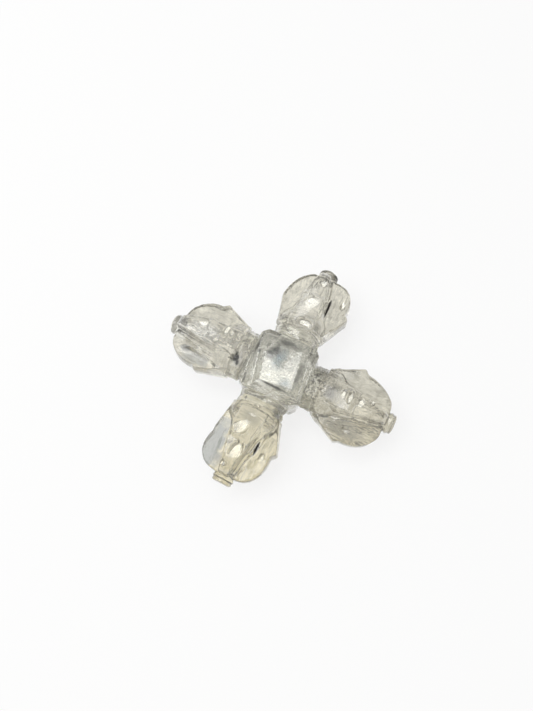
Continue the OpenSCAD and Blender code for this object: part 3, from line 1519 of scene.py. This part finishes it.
@dataclass
class Studio:
    """Pale floor, a soft overhead light and two small windows that the polished faces mirror.

    The floor's white is the share of plain white that it shows, and the rest is lit paper with the shadow.
    The sky is at its palest from the rise on, which is the sine of an angle over the horizon.
    """

    floor_colour: Triple = (0.93, 0.93, 0.925)
    floor_white: float = 0.78
    floor_size: float = 3.0
    sky_top: float = 0.85
    sky_low: float = 0.3
    sky_rise: float = 0.8
    bounces: int = 24
    clear_bounces: int = 64
    lamps: tuple[Lamp, ...] = (
        Lamp(
            "left_window", place=(-90.0, 96.0, 400.0), length=100.0, width=60.0, turn=-37.0, glow=6.2,
            colour=(1.0, 1.0, 0.95),
        ),
        Lamp("right_window", place=(-43.0, 126.0, 400.0), length=30.0, width=70.0, turn=-19.0, glow=4.2),
        Lamp("overhead", place=(-300.0, -150.0, 550.0), length=500.0, width=500.0, turn=0.0, glow=2.3),
    )

    def build(self) -> None:
        """Makes the floor, the lamps and the world."""
        self.floor()
        self.world()
        for lamp in self.lamps:
            lamp.build()
        settings = bpy.context.scene.cycles
        settings.max_bounces = self.bounces
        settings.transmission_bounces = self.bounces
        settings.transparent_max_bounces = self.clear_bounces
        bpy.context.scene.view_settings.view_transform = "Standard"

    def floor(self) -> None:
        """Lays the floor at the height that the part rests on."""
        mesh = bpy.data.meshes.new("floor")
        half = self.floor_size / 2.0
        corners = [(-half, -half, 0.0), (half, -half, 0.0), (half, half, 0.0), (-half, half, 0.0)]
        mesh.from_pydata(corners, [], [(0, 1, 2, 3)])
        material, tree, output = shader_tree("pale_paper")
        paper = tree.nodes.new("ShaderNodeBsdfPrincipled")
        paper.inputs["Base Color"].default_value = (*self.floor_colour, 1.0)
        paper.inputs["Roughness"].default_value = 0.9
        paper.inputs["Specular IOR Level"].default_value = 0.1
        white = tree.nodes.new("ShaderNodeEmission")
        share = ramp(tree, self.seen(tree), (0.0, 1.0), (0.0, self.floor_white))
        mixed = tree.nodes.new("ShaderNodeMixShader")
        tree.links.new(share, mixed.inputs["Fac"])
        tree.links.new(paper.outputs["BSDF"], mixed.inputs[1])
        tree.links.new(white.outputs["Emission"], mixed.inputs[2])
        tree.links.new(mixed.outputs["Shader"], output.inputs["Surface"])
        mesh.materials.append(material)
        floor = bpy.data.objects.new("floor", mesh)
        bpy.context.scene.collection.objects.link(floor)

    @staticmethod
    def seen(tree: NodeTree) -> NodeSocket:
        """Finds out whether a surface is looked at, straight, in a mirror or through the stone.

        Args:
            tree: Node tree to add to.

        Returns:
            The socket that is 1 where it is.
        """
        path = tree.nodes.new("ShaderNodeLightPath")
        total = path.outputs["Is Camera Ray"]
        for kind in ("Is Glossy Ray", "Is Transmission Ray"):
            total = math_node(tree, "MAXIMUM", total, path.outputs[kind])
        return total

    def world(self) -> None:
        """Lights the scene with a sky that is paler overhead than at the horizon."""
        world = bpy.data.worlds.new("studio")
        world.use_nodes = True
        tree = world.node_tree
        tree.nodes.clear()
        output = tree.nodes.new("ShaderNodeOutputWorld")
        light = tree.nodes.new("ShaderNodeBackground")
        place = tree.nodes.new("ShaderNodeTexCoord")
        parts = tree.nodes.new("ShaderNodeSeparateXYZ")
        tree.links.new(place.outputs["Generated"], parts.inputs["Vector"])
        level = ramp(tree, parts.outputs["Z"], (0.0, self.sky_rise), (self.sky_low, self.sky_top))
        tree.links.new(level, light.inputs["Strength"])
        tree.links.new(light.outputs["Background"], output.inputs["Surface"])
        bpy.context.scene.world = world


# Carving that several arms share
COLLAR = RingGroove(station=10.1, half_width=0.3, depth=0.2)
NECK_CROWN = Crown(start=7.0, end=10.6, half_width=4.0, depth=0.7)
FINIAL_RING = RingGroove(station=27.0, half_width=0.25, depth=0.3)
WORN_RING = Roughening(start=7.1, end=11.5, size=0.7, depth=0.18, stretch=3.0)
# All carving of each arm, in the order in which it is cut
CARVING = {
    Bearing.EAST: [
        NECK_CROWN, COLLAR, FINIAL_RING,
        RingGroove(station=7.4, half_width=0.35, depth=0.25),
        Roughening(start=7.1, end=13.0, size=0.55, depth=0.18),
        Striation(start=11.5, end=24.5, low=22.0, high=46.0, spacing=8.0, depth=0.14),
        Striation(start=14.0, end=24.5, low=54.0, high=84.0, spacing=6.0, depth=0.3),
    ],
    Bearing.NORTH: [
        NECK_CROWN, COLLAR, WORN_RING,
        Hollow(place=(20.0, 6.6), half_length=3.0, half_width=1.5, depth=0.35),
        Striation(start=14.0, end=24.5, low=22.0, high=44.0, spacing=8.0, depth=0.1),
    ],
    Bearing.WEST: [
        NECK_CROWN, COLLAR, WORN_RING,
        RingGroove(station=7.35, half_width=0.3, depth=0.5),
        Hollow(place=(18.0, -6.0), half_length=5.2, half_width=2.2, depth=1.0),
        Striation(start=13.0, end=24.5, low=-62.0, high=-24.0, spacing=7.0, depth=0.14),
    ],
    Bearing.SOUTH: [
        NECK_CROWN, COLLAR, FINIAL_RING, WORN_RING,
        RingGroove(station=8.6, half_width=0.3, depth=0.22),
        Striation(start=14.0, end=24.5, low=-60.0, high=-30.0, spacing=8.0, depth=0.1),
    ],
}
# Flats that were ground and polished last
FACETS = {
    Bearing.EAST: [
        Facet(place=(15.4, 0.8, 6.9), tilt_out=-6.7, tilt_right=1.7, reach=(0.5, 1.2)),
        Facet(place=(17.0, 0.6, 6.9), tilt_out=-7.3, tilt_right=1.8, reach=(0.5, 1.2)),
        Facet(place=(19.4, 0.6, 6.5), tilt_out=-8.1, tilt_right=1.8, reach=(0.6, 0.9)),
        Facet(place=(21.5, -0.9, 6.0), tilt_out=-8.8, tilt_right=2.3, reach=(0.5, 0.9)),
        Facet(place=(16.0, 4.65, 2.2), tilt_out=-6.8, tilt_right=0.3, reach=(1.6, 0.45)),
        Facet(place=(19.2, 6.1, 1.35), tilt_out=-7.8, tilt_right=-0.2, reach=(1.3, 0.45)),
        Facet(place=(26.4, 0.5, 2.2), tilt_out=-10.3, tilt_right=1.6, reach=(0.4, 0.8)),
    ],
    Bearing.NORTH: [
        Facet(place=(15.4, 0.6, 6.95), tilt_out=-6.5, tilt_right=-2.2, reach=(1.5, 1.7), wave=0.018),
        Facet(place=(11.2, 0.9, 5.2), tilt_out=-5.1, tilt_right=-2.2, reach=(0.7, 1.5)),
        Facet(place=(21.6, 0.7, 5.9), tilt_out=-8.2, tilt_right=-2.4, reach=(0.8, 0.8)),
        Facet(place=(21.0, 6.45, 1.6), tilt_out=-7.7, tilt_right=-4.2, reach=(1.5, 0.5)),
        Facet(place=(7.7, 1.0, 4.2), tilt_out=-4.0, tilt_right=-2.2, reach=(0.4, 1.4)),
    ],
    Bearing.WEST: [
        Facet(place=(19.0, 1.1, 6.55), tilt_out=-4.4, tilt_right=-1.8, reach=(0.9, 0.9)),
        Facet(place=(13.6, 1.6, 6.3), tilt_out=-2.7, tilt_right=-2.0, reach=(0.5, 1.4)),
        Facet(place=(21.4, -1.2, 5.9), tilt_out=-5.1, tilt_right=-0.9, reach=(1.6, 0.5)),
        Facet(place=(12.2, 1.8, 6.3), tilt_out=-2.2, tilt_right=-2.1, reach=(0.4, 1.1)),
        Facet(place=(10.5, 1.9, 5.85), tilt_out=-1.7, tilt_right=-2.2, reach=(0.4, 0.9)),
        Facet(place=(7.9, 1.5, 4.05), tilt_out=-0.8, tilt_right=-2.0, reach=(0.4, 1.0)),
        Facet(place=(14.7, -1.4, 6.95), tilt_out=-3.1, tilt_right=-1.1, reach=(0.35, 0.9)),
    ],
    Bearing.SOUTH: [
        Facet(place=(15.8, 0.9, 6.95), tilt_out=-3.3, tilt_right=1.1, reach=(1.7, 1.5), wave=0.018),
        Facet(place=(21.3, -0.7, 6.0), tilt_out=-5.1, tilt_right=1.6, reach=(2.2, 1.1), wave=0.015),
        Facet(place=(24.0, 0.8, 4.6), tilt_out=-6.0, tilt_right=1.1, reach=(0.5, 0.7)),
        Facet(place=(12.8, -0.3, 6.45), tilt_out=-2.3, tilt_right=1.5, reach=(0.4, 0.6)),
        Facet(place=(10.4, -0.4, 5.65), tilt_out=-1.5, tilt_right=1.6, reach=(0.3, 0.9)),
        Facet(place=(18.9, 0.4, 6.6), tilt_out=-4.3, tilt_right=1.3, reach=(0.3, 1.1)),
        Facet(place=(19.7, -5.6, 2.05), tilt_out=-4.6, tilt_right=3.3, reach=(1.2, 0.55)),
    ],
}

# Finishes of the members that look unlike the rest of their kind, by node
OUTSIDES = {
    "west_finial": "finial",
    "north_finial": "dusky",
    "east_finial": "dusky",
    "east_neck": "pitted",
    "east_base": "speckled",
    "east_right_prong": "streaked",
    "east_top_prong": "dusky",
    "east_left_prong": "dusky",
}
# Where the east arm is pitted, and spots that tint the stone: place, reach and tint of each. On the hub they
# are painted shade and painted highlights where the table and bevels mirror and refract dark and bright
# surroundings.
PIT_ZONE = TintSpot((8.8, 0.3, 12.0), (4.6, 5.5, 4.0), (0.0, 0.0, 0.0))
HUB_PAINTED_SHADING = (
    TintSpot((-0.4, 1.0, 13.2), (1.9, 3.2, 2.0), (0.1, 0.155, 0.18), full=0.3),
    TintSpot((3.4, -3.6, 13.2), (2.2, 1.4, 2.0), (0.15, 0.19, 0.2), full=0.2),
    TintSpot((-1.8, 2.4, 13.2), (1.6, 1.5, 2.0), (0.012, 0.014, 0.014), full=0.4),
    TintSpot((-0.2, 5.2, 12.4), (3.4, 1.4, 2.5), (0.08, 0.08, 0.074), full=0.35),
    TintSpot((-6.1, 2.0, 12.0), (0.55, 2.8, 2.5), (0.02, 0.018, 0.016), full=0.3),
    TintSpot((-5.3, 1.0, 12.4), (0.6, 0.6, 1.2), (0.02, 0.025, 0.03), full=0.3),
    TintSpot((-2.7, 1.0, 13.2), (1.4, 1.6, 1.5), (0.05, 0.055, 0.055), full=0.4),
    TintSpot((-0.9, -5.5, 12.8), (2.0, 0.8, 1.5), (1.0, 0.98, 0.9), full=0.5),
    TintSpot((-1.0, -6.8, 12.1), (2.0, 0.7, 1.5), (1.0, 0.98, 0.9), full=0.5),
    TintSpot((1.0, -5.1, 12.9), (3.8, 0.3, 1.2), (0.02, 0.02, 0.018), full=0.5),
    TintSpot((1.3, -6.8, 12.0), (3.2, 0.6, 2.0), (1.0, 0.97, 0.86), full=0.4),
    TintSpot((5.6, 4.4, 10.5), (1.5, 1.5, 2.5), (0.2, 0.19, 0.15)),
    TintSpot((4.9, -0.5, 12.6), (0.8, 3.8, 1.6), (0.12, 0.116, 0.1), full=0.4),
)
# On the necks and bases: dirt round the west pits first, then painted shade on darker-looking patches
NECK_DIRT_AND_SHADE = (
    TintSpot((-8.8, -2.7, 11.1), (1.6, 1.5, 2.5), (0.004, 0.005, 0.005), full=0.5),
    TintSpot((-8.6, -0.5, 11.5), (1.4, 4.0, 2.5), (0.35, 0.33, 0.28), full=0.3),
    TintSpot((4.5, -9.7, 9.8), (1.6, 1.8, 2.5), (0.12, 0.12, 0.1), full=0.4),
    TintSpot((0.3, -13.5, 14.0), (2.5, 2.5, 2.0), (0.45, 0.43, 0.35), full=0.3),
    TintSpot((3.6, 12.0, 11.8), (1.6, 1.8, 2.0), (0.3, 0.29, 0.25), full=0.3),
)
# On the heads: painted shade with the dark tints and painted highlights with the pale ones, where the prongs
# mirror and refract their surroundings
HEAD_PAINTED_SHADING = (
    TintSpot((18.0, -6.0, 9.5), (6.0, 2.4, 2.5), (0.36, 0.345, 0.29)),
    TintSpot((-18.0, -6.0, 9.0), (4.5, 1.6, 2.0), (0.5, 0.51, 0.49)),
    TintSpot((-21.4, -4.8, 9.0), (1.6, 0.8, 2.0), (0.16, 0.165, 0.16)),
    TintSpot((-5.6, -20.0, 8.0), (3.0, 9.0, 5.0), (0.42, 0.43, 0.4), full=0.8),
    TintSpot((-24.8, -0.9, 10.5), (3.0, 3.0, 4.5), (1.0, 1.0, 0.95), full=0.7),
    TintSpot((-18.0, -0.8, 14.0), (5.5, 2.6, 2.0), (1.0, 1.0, 0.95), full=0.5),
    TintSpot((12.8, -1.1, 13.4), (2.2, 2.4, 2.0), (0.16, 0.155, 0.135), full=0.4),
    TintSpot((4.5, -22.8, 9.0), (1.8, 2.2, 2.5), (0.6, 0.55, 0.38), full=0.3),
    TintSpot((-2.6, -23.6, 8.8), (1.6, 2.2, 2.0), (0.36, 0.34, 0.28), full=0.4),
    TintSpot((1.8, -25.2, 8.8), (1.2, 1.4, 2.0), (1.0, 0.96, 0.82), full=0.4),
    TintSpot((13.8, 4.7, 11.0), (2.2, 1.4, 2.0), (1.0, 0.98, 0.88), full=0.4),
    TintSpot((-0.7, 18.5, 14.0), (1.6, 2.6, 2.0), (1.0, 0.98, 0.9), full=0.3),
)
WEST_PITS = (
    PitGrime("west_pit_grime.001", place=(-9.3, -2.4, 10.97), reach=(0.6, 0.65, 0.2)),
    PitGrime("west_pit_grime.002", place=(-9.7, -1.4, 11.05), reach=(0.35, 0.4, 0.18)),
    PitGrime("west_pit_grime.003", place=(-8.7, -3.2, 10.75), reach=(0.3, 0.4, 0.16)),
)
# Tints of the clear stone and of its cloudy patches. The hub's paler tints are partly painted light, which
# brightens its table where it mirrors the window.
HUB_TINT = (0.9, 0.89, 0.79)
HUB_CLOUD = (0.47, 0.465, 0.4)
EAST_TINT = (0.81, 0.78, 0.67)
EAST_CLOUD = (0.38, 0.365, 0.305)
NECK_TINT = (0.85, 0.83, 0.7)
NECK_CLOUD = (0.42, 0.405, 0.33)
# Carved finishes, by the record's slots or by the members that they are made for
FINISHES = {
    "polished_crystal": CrystalFinish(
        "polished_crystal", rough_low=0.02, rough_high=0.1, ripple=0.08, lay=Lay.ALONG, tinted_spots=HEAD_PAINTED_SHADING
    ),
    "satin_crystal": CrystalFinish(
        "satin_crystal", rough_low=0.03, rough_high=0.14, ripple=0.08, lay=Lay.ROUND, tinted_spots=NECK_DIRT_AND_SHADE
    ),
    "ground_crystal": CrystalFinish(
        "ground_crystal", rough_low=0.06, rough_high=0.22, ripple=0.1, lay=Lay.ROUND,
        tint=NECK_TINT, cloud_tint=NECK_CLOUD, tinted_spots=NECK_DIRT_AND_SHADE,
    ),
    "inner_crystal": CrystalFinish(
        "inner_crystal", rough_low=0.02, rough_high=0.1, ripple=0.05, lay=Lay.ALONG, tinted_spots=HEAD_PAINTED_SHADING
    ),
    "hub": CrystalFinish(
        "hub_crystal", rough_low=0.05, rough_high=0.15, ripple=0.012, lay=Lay.ROUND,
        glaze=1.0, glaze_rough=0.05,
        streak=0.04, streak_width=0.2, streak_length=1.6, scratch_span=(0.5, 0.65),
        tint=HUB_TINT, cloud_tint=HUB_CLOUD, tinted_spots=HUB_PAINTED_SHADING,
        pits=0.5, pit_size=0.4, pit_tint=(0.12, 0.12, 0.1),
    ),
    "pitted": CrystalFinish(
        "pitted_crystal", rough_low=0.15, rough_high=0.4, ripple=0.3, lay=Lay.ROUND, ripple_size=0.5,
        tint=NECK_TINT, cloud_tint=NECK_CLOUD, pits=1.0, pit_zone=PIT_ZONE,
    ),
    "speckled": CrystalFinish(
        "speckled_crystal", rough_low=0.04, rough_high=0.16, ripple=0.12, lay=Lay.ROUND,
        tint=EAST_TINT, cloud_tint=EAST_CLOUD, tinted_spots=HEAD_PAINTED_SHADING, pits=0.9, pit_zone=PIT_ZONE,
    ),
    "streaked": CrystalFinish(
        "streaked_crystal", rough_low=0.02, rough_high=0.1, ripple=0.08, lay=Lay.ALONG, tinted_spots=HEAD_PAINTED_SHADING,
        tint=EAST_TINT, cloud_tint=EAST_CLOUD,
        streak=0.08, streak_width=0.35, streak_length=6.0, scratch_span=(0.52, 0.6),
        scratch_tint=(0.14, 0.135, 0.11),
    ),
    "dusky": CrystalFinish(
        "dusky_crystal", rough_low=0.02, rough_high=0.1, ripple=0.08, lay=Lay.ALONG, tinted_spots=HEAD_PAINTED_SHADING,
        tint=EAST_TINT, cloud_tint=EAST_CLOUD,
    ),
    "finial": CrystalFinish(
        "finial_crystal", rough_low=0.05, rough_high=0.2, ripple=0.06, lay=Lay.ROUND, clear=0.75,
        tint=(1.0, 0.99, 0.92), cloud_tint=(0.96, 0.94, 0.85), scratch_tint=(0.75, 0.72, 0.62),
    ),
}


def main() -> None:
    """Builds the part, the studio and the camera in order."""
    logging.basicConfig(level=logging.INFO, format="%(name)s %(message)s")
    finishes = {slot: finish.material() for slot, finish in FINISHES.items()}
    finishes["joint"] = JointFinish().material()
    finishes["grime"] = GrimeAndShadeFinish().material()
    finishes["dust"] = GrimeAndShadeFinish("packed_dust", (0.04, 0.042, 0.04), (0.2, 0.2, 0.19)).material()
    arms = [Arm(bearing, CARVING[bearing], FACETS[bearing]) for bearing in Bearing]
    stone = Stone()
    hub = Hub()
    stone.build(frame["nodes"], hub, arms)
    hub.build(stone, arms, finishes)
    for arm in arms:
        arm.build(stone, finishes)
    stone.mesh.free()
    # Black slivers in the north and south slits: painted shade where the slits look dark
    SlitShade(arms[Bearing.NORTH.value], Side.RIGHT, start=15.4, end=20.6).build(finishes)
    SlitShade(arms[Bearing.SOUTH.value], Side.LEFT, start=16.4, end=19.5, beside=0.4).build(finishes)
    for pit in WEST_PITS:
        pit.build(finishes)
    Studio().build()
    Camera().build(arms[Bearing.EAST.value].axis)


if __name__ == "__main__":
    main()
